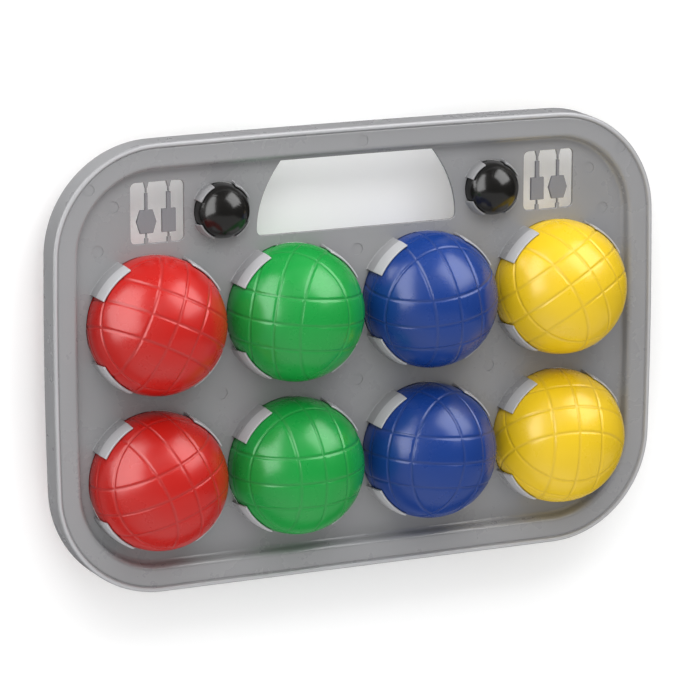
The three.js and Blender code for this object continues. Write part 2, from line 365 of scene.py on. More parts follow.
STRAIGHT_X = 2 * (HALF_WIDTH - CORNER)
STRAIGHT_Y = 2 * (HALF_HEIGHT - CORNER)
start_y = -STRAIGHT_Y / 2
rim = draw_outline("rim", [(HALF_WIDTH - inset, start_y, z) for inset, z in rim_section()])
print("rim section has", len(rim_section()), "points")

# %% [markdown]
# The open section now goes for a walk: along one side, round a corner, along the next side, and so
# on until it meets itself. The straight sides are cut into short steps, which the next cell needs.

# %% Carry the section round the tray
CORNER_STEPS = 26
SIDE_STEPS = 10


def carry_round():
    turns = ((0, 1, STRAIGHT_Y), (-1, 0, STRAIGHT_X), (0, -1, STRAIGHT_Y), (1, 0, STRAIGHT_X))
    centres = ((1, 1), (-1, 1), (-1, -1), (1, -1))
    for (x, y, length), (side, end) in zip(turns, centres):
        step = Vector((x, y, 0)) * length / SIDE_STEPS
        for _ in range(SIDE_STEPS):
            bpy.ops.mesh.extrude_region_move(TRANSFORM_OT_translate={"value": step})
        centre = (side * STRAIGHT_X / 2, end * STRAIGHT_Y / 2, 0)
        bpy.ops.mesh.spin(steps=CORNER_STEPS, angle=-math.pi / 2, center=centre, axis=(0, 0, 1))


carry_round()
clean(rim)
print("rim:", triangles(rim), "triangles")

# %% [markdown]
# A big thin moulding never comes out of its tool quite straight. The top of this one is highest
# in the middle, and its two ends are fullest at half height, by less than a millimetre. Points of
# the rim are drawn in towards the corners, as proportional editing would, and never outwards.

# %% Let the long edges bow
TOP_BOW = 0.8 * MM
END_BOW = 0.7 * MM


def bow(piece):
    for vertex in piece.data.vertices:
        along_x = min(1, abs(vertex.co.x) / (STRAIGHT_X / 2))
        along_y = min(1, abs(vertex.co.y) / (STRAIGHT_Y / 2))
        if vertex.co.y > 0:
            vertex.co.y -= TOP_BOW * along_x**2 * min(1, vertex.co.y / (HALF_HEIGHT - RIM_WIDTH))
        in_x = min(1, abs(vertex.co.x) / (HALF_WIDTH - RIM_WIDTH))
        vertex.co.x -= math.copysign(END_BOW * along_y**2 * in_x, vertex.co.x)


bow(rim)

# %% [markdown]
# The panel is a flat sheet with thirteen holes: eight for the balls, two for the jacks, two
# windows for the pegs and one for the hand. A flat curve is the quickest way to such a plate: every
# inner outline becomes a hole, and the curve's own bevel rounds every edge, as in a real tool.
# The windows keep the gates that hold the pegs until somebody breaks them off.

# %% Gather where the balls, jacks and pegs are
COLOURS = ("red", "green", "blue", "yellow")
ROWS = ("upper", "lower")
SIDES = ("left", "right")
PEG_KINDS = ("hex", "flat")


def middle(node):
    low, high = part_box(node)
    return (low + high) / 2


BALL_PLACES = {(c, r): middle(f"{c}_ball_{r}_shell") for c in COLOURS for r in ROWS}
JACK_PLACES = {side: middle(f"jack_{side}") for side in SIDES}
BALL_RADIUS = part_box("red_ball_upper_shell")[1].z / 2
JACK_RADIUS = (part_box("jack_left")[1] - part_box("jack_left")[0]).z / 2
GAP = 0.3 * MM
print("ball radius", round(BALL_RADIUS / MM, 2), "jack radius", round(JACK_RADIUS / MM, 2))

# %% [markdown]
# The hand opening is wider below than above, with bulging ends. Its ends are quadratic curves, as
# a font's letters have, because such a curve needs just one point to pull it outwards. A window is
# a round-cornered box, and its outline turns inwards at each gate and comes back.

# %% Outline the hand opening and the windows
GRIP_TOP_HALF = 44.5 * MM
GRIP_BOTTOM_HALF = 59 * MM
GRIP_BOTTOM_Y = 66 * MM
GRIP_BULGE = 3.6 * MM
GRIP_CORNER = 3.5 * MM
GRIP_TOP_CORNER = 2 * MM
WINDOW_WIDTH = 30.5 * MM
WINDOW_BOTTOM_Y = 67 * MM
WINDOW_TOP_Y = 100 * MM
WINDOW_X = 116 * MM
WINDOW_CORNER = 3 * MM
NECK_HALF = 0.35 * MM
NECK_LENGTH = 2.4 * MM
GATE_ROOT_HALF = 1.4 * MM
GATE_TIP_HALF = 0.5 * MM
GATE_LENGTH = 3.2 * MM
NUB_HALF = 1 * MM
NUB_LENGTH = 2.8 * MM


def quadratic(start, pull, end, steps):
    """Points along a curve that leaves the start and reaches the end aiming at one pull point."""
    points = []
    for step in range(steps + 1):
        t = step / steps
        points.append(
            tuple(
                (1 - t) ** 2 * a + 2 * t * (1 - t) * b + t**2 * c
                for a, b, c in zip(start, pull, end)
            )
        )
    return points


def grip_outline():
    top = HALF_HEIGHT - RIM_WIDTH
    foot = (GRIP_BOTTOM_HALF, GRIP_BOTTOM_Y + GRIP_CORNER)
    head = (GRIP_TOP_HALF, top - GRIP_TOP_CORNER)
    pull = ((foot[0] + head[0]) / 2 + 2 * GRIP_BULGE, (foot[1] + head[1]) / 2)
    right = quadratic((foot[0] - GRIP_CORNER, GRIP_BOTTOM_Y), (foot[0], GRIP_BOTTOM_Y), foot, 5)
    right += quadratic(foot, pull, head, 12)[1:]
    right += quadratic(head, (GRIP_TOP_HALF, top), (head[0] - GRIP_TOP_CORNER, top), 4)[1:]
    return right + [(-x, y) for x, y in reversed(right)]


def gate(x, edge_y, into, foot_half, tip_half, length):
    """One gate, as points that leave the window's edge, go round the thin neck and come back."""
    tip_y = edge_y + into * length
    end_y = tip_y + into * NECK_LENGTH
    half = [(foot_half, edge_y), (tip_half, tip_y), (NECK_HALF, tip_y), (NECK_HALF, end_y)]
    right = [(x + away, y) for away, y in half]
    left = [(2 * x - a, b) for a, b in reversed(right)]
    if into < 0:
        return right + left
    return [(2 * x - a, b) for a, b in right + left]


def window_outline(side, peg_lines):
    """A window with a gate at the top and a nub at the bottom of each peg's line."""
    centre_y = (WINDOW_BOTTOM_Y + WINDOW_TOP_Y) / 2
    height = WINDOW_TOP_Y - WINDOW_BOTTOM_Y
    corners = rounded_box(side * WINDOW_X, centre_y, WINDOW_WIDTH, height, WINDOW_CORNER, 4)
    quarter = len(corners) // 4
    lower_left = corners[3 * quarter :]
    outline = list(lower_left)
    for x in sorted(peg_lines):
        outline += gate(x, WINDOW_BOTTOM_Y, 1, NUB_HALF, NUB_HALF * 0.99, NUB_LENGTH)
    outline += corners[: 2 * quarter]
    for x in sorted(peg_lines, reverse=True):
        outline += gate(x, WINDOW_TOP_Y, -1, GATE_ROOT_HALF, GATE_TIP_HALF, GATE_LENGTH)
    return outline + corners[2 * quarter : 3 * quarter]


PEGS = {(k, side): middle(f"{k}_headed_peg_{side}") for k in PEG_KINDS for side in SIDES}
print("peg lines, mm:", sorted(round(place.x / MM, 1) for place in PEGS.values()))

# %% [markdown]
# A ball's middle stands above the panel, and its hole is a little smaller than the ball, so the
# ball can't drop through. A jack's hole lets it through, and only its fingers hold it. The sheet
# reaches under the rim, so that joining the two leaves no gap.

# %% Cut the panel
PLATE_INSET = 13.5 * MM


def flat_plate(name, outlines, bottom, top, edge):
    """A filled flat curve whose inner outlines are holes, thickened, with rounded edges."""
    sheet = bpy.data.curves.new(name, "CURVE")
    sheet.dimensions = "2D"
    sheet.fill_mode = "BOTH"
    sheet.extrude = (top - bottom) / 2 - edge
    sheet.bevel_depth = edge
    sheet.bevel_resolution = 2
    sheet.offset = -edge
    for points in outlines:
        spline = sheet.splines.new("POLY")
        spline.points.add(len(points) - 1)
        for point, (x, y) in zip(spline.points, points):
            point.co = (x, y, 0, 1)
        spline.use_cyclic_u = True
    plate = bpy.data.objects.new(name, sheet)
    bpy.context.scene.collection.objects.link(plate)
    plate.location.z = (bottom + top) / 2
    pick_up(plate)
    bpy.ops.object.convert(target="MESH")
    return clean(bpy.context.object)


def round_hole(place, radius, steps):
    return arc(place, radius, 0, 360, steps)[:-1]


BALL_HOLE = BALL_RADIUS - 0.5 * MM
JACK_HOLE = JACK_RADIUS + 0.1 * MM
PLATE_EDGE = 0.3 * MM
holes = [round_hole(place, BALL_HOLE, 96) for place in BALL_PLACES.values()]
holes += [round_hole(place, JACK_HOLE, 64) for place in JACK_PLACES.values()]
holes.append(grip_outline())
for side, name in ((-1, "left"), (1, "right")):
    holes.append(window_outline(side, [PEGS[kind, name].x for kind in PEG_KINDS]))
plate_width = 2 * (HALF_WIDTH - PLATE_INSET)
plate_height = 2 * (HALF_HEIGHT - PLATE_INSET)
outside = rounded_box(0, 0, plate_width, plate_height, CORNER - PLATE_INSET, 20)
panel = flat_plate("panel", [outside] + holes, PANEL_Z - PANEL_THICK, PANEL_Z, PLATE_EDGE)
print("panel:", triangles(panel), "triangles")

# %% Join the panel to the rim
tray = cut_or_join(rim, panel, "UNION")
print("tray so far:", triangles(tray), "triangles")

# %% [markdown]
# Four fingers stand round every ball and every jack, on the diagonals. Each is a slice of a thin
# cup: its inner side hugs the ball, its outer side leans a little so that it leaves the mould, its
# top is rounded and its foot runs into the panel with a small fillet. One section is drawn and
# spun through the finger's angle, then the finger is copied to its forty places. Boolean cutting
# of a whole cup would give the same slice, but without the rounded ends.

# %% Shape the fingers
FINGER_THICK = 1.1 * MM
FINGER_FOOT = 0.5 * MM
BALL_CUP = BALL_RADIUS + GAP
JACK_CUP = JACK_RADIUS + GAP
BALL_Z = BALL_RADIUS
JACK_Z = JACK_PLACES["left"].z


def finger(name, cup, cup_z, lean, top_z, spread, steps):
    """A finger round a ball on the axis, at cup_z, centred on the diagonal between X and Y.

    Its inner side stands straight up to the ball's middle, then leans in over it."""
    thickness = FINGER_THICK
    foot = FINGER_FOOT
    foot_z = PANEL_Z - PANEL_THICK / 2
    reach = top_z - thickness / 2 - max(cup_z, PANEL_Z)
    inner = []
    for step in range(7):
        z = max(cup_z, PANEL_Z) + reach * step / 6
        inner.append((math.sqrt(cup**2 - (z - cup_z) ** 2), z))
    top_in, top_low = inner[-1]
    low_out = cup + thickness + lean
    straight_part = [(cup, PANEL_Z)] if cup_z > PANEL_Z + MM else []
    section = [(cup, foot_z)] + straight_part + inner[:-1]
    section += arc((top_in + thickness / 2, top_low), thickness / 2, 180, 0, 8)
    section += [(away + thickness, z) for away, z in reversed(inner[1:-1])]
    section += arc((low_out + foot, PANEL_Z + foot - SUNK), foot, 180, 270, 4)
    section += [(low_out + foot, foot_z)]
    start = math.radians(45 - spread / 2)
    turn = Matrix.Rotation(start, 3, "Z")
    piece = draw_outline(name, [turn @ Vector((away, 0, z)) for away, z in section])
    bpy.ops.mesh.edge_face_add()
    bpy.ops.mesh.spin(steps=steps, angle=-math.radians(spread), center=(0, 0, 0), axis=(0, 0, 1))
    clean(piece)
    edit(piece)

    def on_an_end(edge):
        big = [len(face.verts) > 8 for face in edge.link_faces]
        return sum(big) == 1 and min(v.co.z for v in edge.verts) > PANEL_Z + foot * 0.9

    pick("EDGE", on_an_end)
    bpy.ops.mesh.bevel(offset=thickness * 0.3, segments=3, profile=0.5)
    put_down()
    return piece


ball_finger = finger(
    "ball_finger", BALL_CUP, BALL_Z, lean=0.15 * MM, top_z=PANEL_Z + 16 * MM, spread=34, steps=12
)
jack_finger = finger(
    "jack_finger", JACK_CUP, JACK_Z, lean=0.1 * MM, top_z=PANEL_Z + 7 * MM, spread=42, steps=8
)
print("a finger has", triangles(ball_finger), "triangles")

# %% [markdown]
# All forty fingers are copied to their places first and joined to the tray in one go, because one
# big union is quicker and steadier than forty small ones.

# %% Stand the fingers round their holes
standing = []
for places, pattern in ((BALL_PLACES, ball_finger), (JACK_PLACES, jack_finger)):
    for place in places.values():
        at = Matrix.Translation((place.x, place.y, 0))
        for quarter in range(4):
            turn = Matrix.Rotation(quarter * math.pi / 2, 4, "Z")
            standing.append(copy_of(pattern, "finger", at @ turn))
    bpy.data.objects.remove(pattern)
cut_or_join(tray, join(standing, "fingers"), "UNION")
print("tray with fingers:", triangles(tray), "triangles")

# %% [markdown]
# Round pins push the moulding out of its tool, and each leaves a shallow round print. They stand
# on the panel between the balls and on the band, where the plastic is thickest.

# %% Press the ejector prints
PRINT_RADIUS = 3.2 * MM
PRINT_DEPTH = 0.4 * MM
PANEL_PRINTS = ((-141, 88), (-150, 65), (0, 54), (150, 65), (141, 88))
PANEL_PRINTS += ((0, -18.5), (-80, -18.5), (80, -18.5))
BAND_PRINTS = ((0, 114.5), (-157, 99.5), (157, 99.5))


def disc(name, x, y, z, radius, depth, sides=40):
    """A short cylinder lying flat, centred at the given place."""
    put_down()
    bpy.ops.mesh.primitive_cylinder_add(
        vertices=sides, radius=radius, depth=depth, location=(x, y, z)
    )
    bpy.context.object.name = name
    return clean(bpy.context.object)


pins = []
for height, places in ((PANEL_Z, PANEL_PRINTS), (BAND_Z, BAND_PRINTS)):
    for x, y in places:
        pins.append(disc("pin", x * MM, y * MM, height, PRINT_RADIUS, 2 * PRINT_DEPTH))
cut_or_join(tray, join(pins, "pins"), "DIFFERENCE")
tray = smooth(clean(tray, 0.0005 * MM), 32)
tray.name = "carry_tray"
print("tray:", triangles(tray), "triangles")

# %% [markdown]
# The four pegs hang in the two windows by hair-thin necks, so that they can be snapped off. Each
# is a small flat head on a long stem: the head of one is a hexagon, the other's is a flat bar.
# They are cut from the same flat plate as the panel, with finer edges.

# %% Cut the pegs
PEG_HEAD = 12.5 * MM
PEG_EDGE = 0.25 * MM


def peg_outline(node, head_half, flat_half, stem_half):
    low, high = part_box(node)
    x = (low.x + high.x) / 2
    head_top = low.y + PEG_HEAD
    side = [(x + flat_half, low.y), (x + flat_half, head_top)]
    if head_half > flat_half:
        side.insert(1, (x + head_half, (low.y + head_top) / 2))
    side += [(x + stem_half, head_top), (x + stem_half, high.y)]
    return side + [(2 * x - a, b) for a, b in reversed(side)]


PEG_SHAPES = {"hex": (5.6 * MM, 3.6 * MM, 0.7 * MM), "flat": (3.9 * MM, 3.9 * MM, 1.1 * MM)}
pegs = {}
for kind, shape in PEG_SHAPES.items():
    for side in SIDES:
        node = f"{kind}_headed_peg_{side}"
        low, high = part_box(node)
        outline = peg_outline(node, *shape)
        peg = flat_plate(node + "_moulding", [outline], low.z, high.z, PEG_EDGE)
        pegs[node] = smooth(peg, 40)
print("pegs:", {node: triangles(peg) for node, peg in pegs.items()})

# %% [markdown]
# A ball is a hollow shell with nine shallow grooves. They are circles: three stand round each of
# three axes at right angles, one on the middle and one 22 degrees to either side of it. A ball of
# even triangles is sliced along the lips and the floors of the grooves, and the points between
# the lips are pressed in. Slicing first keeps the lips crisp however the ball is turned.

# %% Groove a ball
GROOVE_TILT = math.radians(22)
GROOVE_HALF = 1.05 * MM
GROOVE_DEPTH = 0.4 * MM
GROOVE_LINES = (-1, -0.6, 0, 0.6, 1)
VALLEY = 1.2


def groove_depth(point):
    """How deep a place on the ball is: a soft valley, no deeper where two grooves cross."""
    direction = point.normalized()
    depth = 0
    for along in direction:
        for tilt in (-GROOVE_TILT, 0, GROOVE_TILT):
            away = abs(along * BALL_RADIUS - BALL_RADIUS * math.sin(tilt))
            if away < GROOVE_HALF:
                depth = max(depth, math.cos(away / GROOVE_HALF * math.pi / 2) ** VALLEY)
    return depth * GROOVE_DEPTH


def grooved_ball():
    put_down()
    bpy.ops.mesh.primitive_ico_sphere_add(subdivisions=7, radius=BALL_RADIUS)
    ball = bpy.context.object
    edit(ball)
    for axis in ((1, 0, 0), (0, 1, 0), (0, 0, 1)):
        for tilt in (-GROOVE_TILT, 0, GROOVE_TILT):
            for line in GROOVE_LINES:
                offset = BALL_RADIUS * math.sin(tilt) + line * GROOVE_HALF
                bpy.ops.mesh.select_all(action="SELECT")
                bpy.ops.mesh.bisect(plane_co=Vector(axis) * offset, plane_no=axis)
    put_down()
    for vertex in ball.data.vertices:
        vertex.co = vertex.co.normalized() * (BALL_RADIUS - groove_depth(vertex.co))
    return clean(ball, 0.05 * MM)


grooved = grooved_ball()
print("grooved ball:", triangles(grooved), "triangles")

# %% [markdown]
# Each ball is filled through a small hole in its back, which a plug then closes. The hole and the
# hollow are one tool: a ball with a short peg on it. In the tray every ball has come to rest
# turned its own way, so the shell is a turned copy of the grooved ball, cut by the unturned tool.

# %% Hollow the shells
BALL_WALL = 2.5 * MM
FILLER_RADIUS = 4 * MM
FILLER_TILT = math.radians(50)
FILLER_WAY = Vector((0, -math.sin(FILLER_TILT), -math.cos(FILLER_TILT)))
FILLER_TURN = Vector((0, 0, 1)).rotation_difference(FILLER_WAY).to_matrix().to_4x4()
BALL_TURNS = {
    ("red", "upper"): (-11, -9, -25),
    ("red", "lower"): (-3, 10, 21),
    ("green", "upper"): (1, -41, -6),
    ("green", "lower"): (1, 3, 3),
    ("blue", "upper"): (9, 2, 9),
    ("blue", "lower"): (-1, 28, -5),
    ("yellow", "upper"): (-21, 13, 26),
    ("yellow", "lower"): (-38, -8, -2),
}


def hollow_tool():
    put_down()
    bpy.ops.mesh.primitive_uv_sphere_add(segments=48, ring_count=24, radius=BALL_RADIUS - BALL_WALL)
    hollow = clean(bpy.context.object)
    neck_low = BALL_RADIUS - 2 * BALL_WALL
    neck_high = BALL_RADIUS + BALL_WALL
    neck = disc("neck", 0, 0, (neck_low + neck_high) / 2, FILLER_RADIUS, neck_high - neck_low, 48)
    neck.data.transform(FILLER_TURN)
    return cut_or_join(hollow, neck, "UNION")


tool = hollow_tool()
shells = {}
for key, place in BALL_PLACES.items():
    colour, row = key
    at = Matrix.Translation(place)
    shell = copy_of(grooved, f"{colour}_{row}_ball", at @ turned(BALL_TURNS[key]))
    cut_or_join(shell, copy_of(tool, "hollow", at), "DIFFERENCE")
    shells[key] = smooth(clean(shell, 0.0005 * MM), 50)
bpy.data.objects.remove(grooved)
bpy.data.objects.remove(tool)
print("shells:", [triangles(shell) for shell in shells.values()])

# %% [markdown]
# The grooves hold a little dust and the lips beside them take the knocks. Each shell carries that
# as an attribute of its own points: nothing on the open face, full on a groove's floor.

# %% Mark the grooves on the shells
for key, shell in shells.items():
    place = BALL_PLACES[key]
    mark = shell.data.attributes.new("groove", "FLOAT", "POINT")
    for vertex, value in zip(shell.data.vertices, mark.data):
        sunk = BALL_RADIUS - (vertex.co - place).length
        value.value = min(1, max(0, sunk / GROOVE_DEPTH))

# %% [markdown]
# The plug is a small disc pressed into the filler hole. Its face is turned slightly hollow with a
# raised lip, which lets a tool grip it. It could be one cylinder, but the moulded lip catches the
# light when the ball is picked up.

# %% Make the plugs
PLUG_RADIUS = 3.7 * MM
PLUG_LOW = 35.3 * MM
PLUG_HIGH = 36.7 * MM


def plug():
    piece = disc("plug", 0, 0, (PLUG_LOW + PLUG_HIGH) / 2, PLUG_RADIUS, PLUG_HIGH - PLUG_LOW, 48)
    edit(piece)
    pick("EDGE", lambda edge: all(abs(v.co.z - PLUG_HIGH) < 0.01 * MM for v in edge.verts))
    bpy.ops.mesh.bevel(offset=0.45 * MM, segments=3)
    for inset, sink in ((0.7 * MM, 0), (0.15 * MM, -0.2 * MM), (0.9 * MM, -0.05 * MM)):
        pick("FACE", lambda face: face.normal.z > 0.9 and len(face.verts) > 20)
        bpy.ops.mesh.inset(thickness=inset)
        bpy.ops.transform.translate(value=(0, 0, sink))
    put_down()
    return clean(piece)


plug_pattern = plug()
plugs = {}
for (colour, row), place in BALL_PLACES.items():
    at = Matrix.Translation(place)
    piece = copy_of(plug_pattern, f"{colour}_{row}_filler_plug", at @ FILLER_TURN)
    plugs[colour, row] = smooth(piece, 30)
bpy.data.objects.remove(plug_pattern)
print("plug:", triangles(piece), "triangles")

# %% [markdown]
# A jack is a small solid ball, moulded in two halves: a fine seam runs round it, with the nub of
# its gate on the seam. A sphere alone would do from afar, but the seam is what tells a moulded
# ball from a rendered one.

# %% Make the jacks
SEAM_HALF = 0.25 * MM
SEAM_SINK = 0.06 * MM
JACK_TURNS = {"left": (62, 15, -40), "right": (62, 15, 75)}


def jack():
    put_down()
    bpy.ops.mesh.primitive_uv_sphere_add(segments=128, ring_count=64, radius=JACK_RADIUS)
    piece = bpy.context.object
    edit(piece)
    for height in (-SEAM_HALF, SEAM_HALF):
        bpy.ops.mesh.select_all(action="SELECT")
        bpy.ops.mesh.bisect(plane_co=(0, 0, height), plane_no=(0, 0, 1))
    pick("VERT", lambda vertex: abs(vertex.co.z) < SEAM_HALF / 2)
    sunk = 1 - SEAM_SINK / JACK_RADIUS
    bpy.ops.transform.resize(value=(sunk, sunk, 1))
    put_down()
    gate = disc("gate_scar", 0, 0, JACK_RADIUS - 0.35 * MM, 1.1 * MM, 0.6 * MM, 24)
    gate.data.transform(Matrix.Rotation(math.pi / 2, 4, "X"))
    return cut_or_join(clean(piece), gate, "UNION")


jack_pattern = jack()
jacks = {}
for side, place in JACK_PLACES.items():
    at = Matrix.Translation(place)
    piece = copy_of(jack_pattern, f"{side}_jack", at @ turned(JACK_TURNS[side]))
    jacks[side] = smooth(piece, 30)
bpy.data.objects.remove(jack_pattern)
print("jack:", triangles(piece), "triangles")

# %% [markdown]
# Finishes. Three small node groups are shared by all the plastics. One makes the fine grain that a
# mould leaves, one lets the colour drift, and one makes the smudges and hair scratches of handling.
# A fourth finds a band of height, such as the crest of the bead. Each material brings its own
# numbers, because a polished ball and a satin tray never share a grain.

# %% Helpers for finishes
class Nodes:
    """Adds nodes to one tree and joins them up."""

    def __init__(self, tree):
        self.tree = tree
        self.tree.nodes.clear()

    def add(self, kind, inputs=None, **settings):
        node = self.tree.nodes.new(kind)
        for name, value in settings.items():
            setattr(node, name, value)
        for name, value in (inputs or {}).items():
            socket = node.inputs[name]
            if isinstance(value, bpy.types.NodeSocket):
                self.tree.links.new(value, socket)
            else:
                socket.default_value = value
        return node

    def maths(self, operation, *values):
        node = self.add("ShaderNodeMath", operation=operation)
        for socket, value in zip(node.inputs, values):
            if isinstance(value, bpy.types.NodeSocket):
                self.tree.links.new(value, socket)
            else:
                socket.default_value = value
        return node.outputs[0]

    def ramp(self, value, low, high, to_low=0.0, to_high=1.0):
        """Maps low to high onto to_low to to_high, and stays within them."""
        inputs = {"Value": value, "From Min": low, "From Max": high}
        inputs.update({"To Min": to_low, "To Max": to_high})
        return self.add("ShaderNodeMapRange", inputs, clamp=True).outputs["Result"]

    def noise(self, place, scale, detail, roughness=0.5):
        inputs = {"Vector": place, "Scale": scale, "Detail": detail, "Roughness": roughness}
        return self.add("ShaderNodeTexNoise", inputs).outputs["Fac"]


def make_group(name, inputs, outputs, build):
    """A node group. build adds its nodes and gives back what goes to each output."""
    group = bpy.data.node_groups.new(name, "ShaderNodeTree")
    kinds = {"V": "NodeSocketVector", "F": "NodeSocketFloat", "C": "NodeSocketColor"}
    for socket, kind in inputs.items():
        group.interface.new_socket(name=socket, in_out="INPUT", socket_type=kinds[kind])
    for socket, kind in outputs.items():
        group.interface.new_socket(name=socket, in_out="OUTPUT", socket_type=kinds[kind])
    nodes = Nodes(group)
    given = nodes.add("NodeGroupInput").outputs
    nodes.add("NodeGroupOutput", build(nodes, given))
    return group


# %% [markdown]
# A group is made by a function that is given its inputs and gives back its outputs. The grain adds
# fine noise to broad waves, because a mould's skin is never flat between its grains. Scratches are
# noise stretched far in one direction, and cut off high so that only a few show.

# %% Make the shared groups
BROAD_SHARE = 0.07
HAIR_STRETCH = (1.0, 14.0, 14.0)
HAIR_TURN = (0.5, 0.3, 0.7)


def build_grain(nodes, given):
    fine = nodes.noise(given["Vector"], given["Scale"], 3.0)
    broad_scale = nodes.maths("MULTIPLY", given["Scale"], BROAD_SHARE)
    broad = nodes.noise(given["Vector"], broad_scale, 1.0)
    waves = nodes.maths("MULTIPLY", broad, given["Waviness"])
    return {"Height": nodes.maths("ADD", fine, waves)}


def build_drift(nodes, given):
    cloud = nodes.noise(given["Vector"], given["Scale"], 4.0)
    swing = nodes.maths("MULTIPLY", nodes.maths("SUBTRACT", cloud, 0.5), given["Amount"])
    value = nodes.maths("ADD", 1.0, swing)
    inputs = {"Color": given["Color"], "Value": value, "Fac": 1.0}
    return {"Color": nodes.add("ShaderNodeHueSaturation", inputs).outputs["Color"]}


def build_handling(nodes, given):
    smudge = nodes.noise(given["Vector"], given["Scale"], 5.0, 0.6)
    patches = nodes.ramp(smudge, 0.35, 0.85)
    inputs = {"Vector": given["Vector"], "Rotation": HAIR_TURN, "Scale": HAIR_STRETCH}
    stretched = nodes.add("ShaderNodeMapping", inputs).outputs["Vector"]
    hairs = nodes.noise(stretched, nodes.maths("MULTIPLY", given["Scale"], 2.4), 2.0)
    scratches = nodes.ramp(hairs, 0.7, 0.76)
    mask = nodes.maths("MAXIMUM", nodes.maths("MULTIPLY", patches, 0.5), scratches)
    return {"Mask": nodes.maths("MULTIPLY", mask, given["Amount"]), "Scratches": scratches}


def build_height_band(nodes, given):
    height = nodes.add("ShaderNodeSeparateXYZ", {"Vector": given["Vector"]}).outputs["Z"]
    rise = nodes.maths("SUBTRACT", height, given["Bottom"])
    share = nodes.maths("DIVIDE", rise, nodes.maths("SUBTRACT", given["Top"], given["Bottom"]))
    return {"Mask": nodes.ramp(share, 0.0, 1.0)}


GRAIN = make_group(
    "moulded_grain", {"Vector": "V", "Scale": "F", "Waviness": "F"}, {"Height": "F"}, build_grain
)
DRIFT = make_group(
    "colour_drift",
    {"Vector": "V", "Color": "C", "Scale": "F", "Amount": "F"},
    {"Color": "C"},
    build_drift,
)
HANDLING = make_group(
    "handling",
    {"Vector": "V", "Scale": "F", "Amount": "F"},
    {"Mask": "F", "Scratches": "F"},
    build_handling,
)
BAND = make_group(
    "height_band", {"Vector": "V", "Bottom": "F", "Top": "F"}, {"Mask": "F"}, build_height_band
)
print("groups:", [group.name for group in (GRAIN, DRIFT, HANDLING, BAND)])


def use(nodes, group, **inputs):
    """Places a shared group in a material, and gives back its outputs."""
    return nodes.add("ShaderNodeGroup", inputs, node_tree=group).outputs


# %% [markdown]
# One helper lays out a plastic: colour drift, handling that dulls the gloss, an extra mask for
# wear or dust, which on the tray's bead is also a painted highlight, and grain as a bump. The
# shader itself stands in each material with its own values.

# %% Mix the plastics
DRIFT_SCALE = 28.0
HANDLING_SCALE = 34.0
GRAIN_WAVES = 6.0
SMUDGE_ROUGH = 0.1
PLASTIC_IOR = 1.49


def plastic(name, colour, roughness, grain, drift, handling, wear_and_highlight, wear_and_highlight_colour, wear_and_highlight_rough):
    """A moulded plastic. grain is its scale and depth. A function gives the mask of wear or dust;
    on the tray's bead it also paints a highlight.
    """
    material = bpy.data.materials.new(name)
    material.use_nodes = True
    nodes = Nodes(material.node_tree)
    place = nodes.add("ShaderNodeTexCoord").outputs["Object"]
    base = (*colour, 1)
    drifted = use(nodes, DRIFT, Vector=place, Color=base, Scale=DRIFT_SCALE, Amount=drift)["Color"]
    handled = use(nodes, HANDLING, Vector=place, Scale=HANDLING_SCALE, Amount=handling)
    # This mask is wear or dust, and on the tray's bead it is also a painted highlight.
    worn_and_lit = wear_and_highlight(nodes, place, handled)
    colour_mix = nodes.add("ShaderNodeMix", data_type="RGBA")
    nodes.tree.links.new(worn_and_lit, colour_mix.inputs[0])
    nodes.tree.links.new(drifted, colour_mix.inputs[6])
    colour_mix.inputs[7].default_value = (*wear_and_highlight_colour, 1)
    smudged = nodes.maths("MULTIPLY", handled["Mask"], SMUDGE_ROUGH)
    rough = nodes.maths("ADD", roughness, smudged)
    rough = nodes.maths("ADD", rough, nodes.maths("MULTIPLY", worn_and_lit, wear_and_highlight_rough))
    scale, depth = grain
    height = use(nodes, GRAIN, Vector=place, Scale=scale, Waviness=GRAIN_WAVES)["Height"]
    bump = nodes.add("ShaderNodeBump", {"Height": height, "Strength": 1.0, "Distance": depth})
    shader = nodes.add(
        "ShaderNodeBsdfPrincipled",
        {
            "Base Color": colour_mix.outputs[2],
            "Roughness": rough,
            "Normal": bump.outputs["Normal"],
            "IOR": PLASTIC_IOR,
        },
    )
    nodes.add("ShaderNodeOutputMaterial", {"Surface": shader.outputs["BSDF"]})
    return material


def share_of_handling(nodes, handled, share, least):
    """The mask of handling, weakened to a share and never under the least value."""
    return nodes.maths("ADD", nodes.maths("MULTIPLY", handled["Mask"], share), least)


def bead_wear_and_highlight(nodes, place, handled):
    """The crest of the bead is painted pale all round as a highlight, and paler still where
    handled.
    """
    # Painted highlight: the crest is pale everywhere, and handling only adds real rubbing on top.
    crest = use(nodes, BAND, Vector=place, Bottom=BEAD_Z - 0.5 * MM, Top=BEAD_Z)["Mask"]
    return nodes.maths("MULTIPLY", crest, share_of_handling(nodes, handled, 0.6, 0.4))


def groove_dust(nodes, place, handled):
    """Dust lies in the grooves, thickest on their floors."""
    depth = nodes.add("ShaderNodeAttribute", attribute_name="groove").outputs["Fac"]
    return nodes.maths("MULTIPLY", depth, share_of_handling(nodes, handled, 0.4, 0.14))


def light_scuff(nodes, place, handled):
    """Only the scratches show, and faintly."""
    return nodes.maths("MULTIPLY", handled["Scratches"], 0.12)


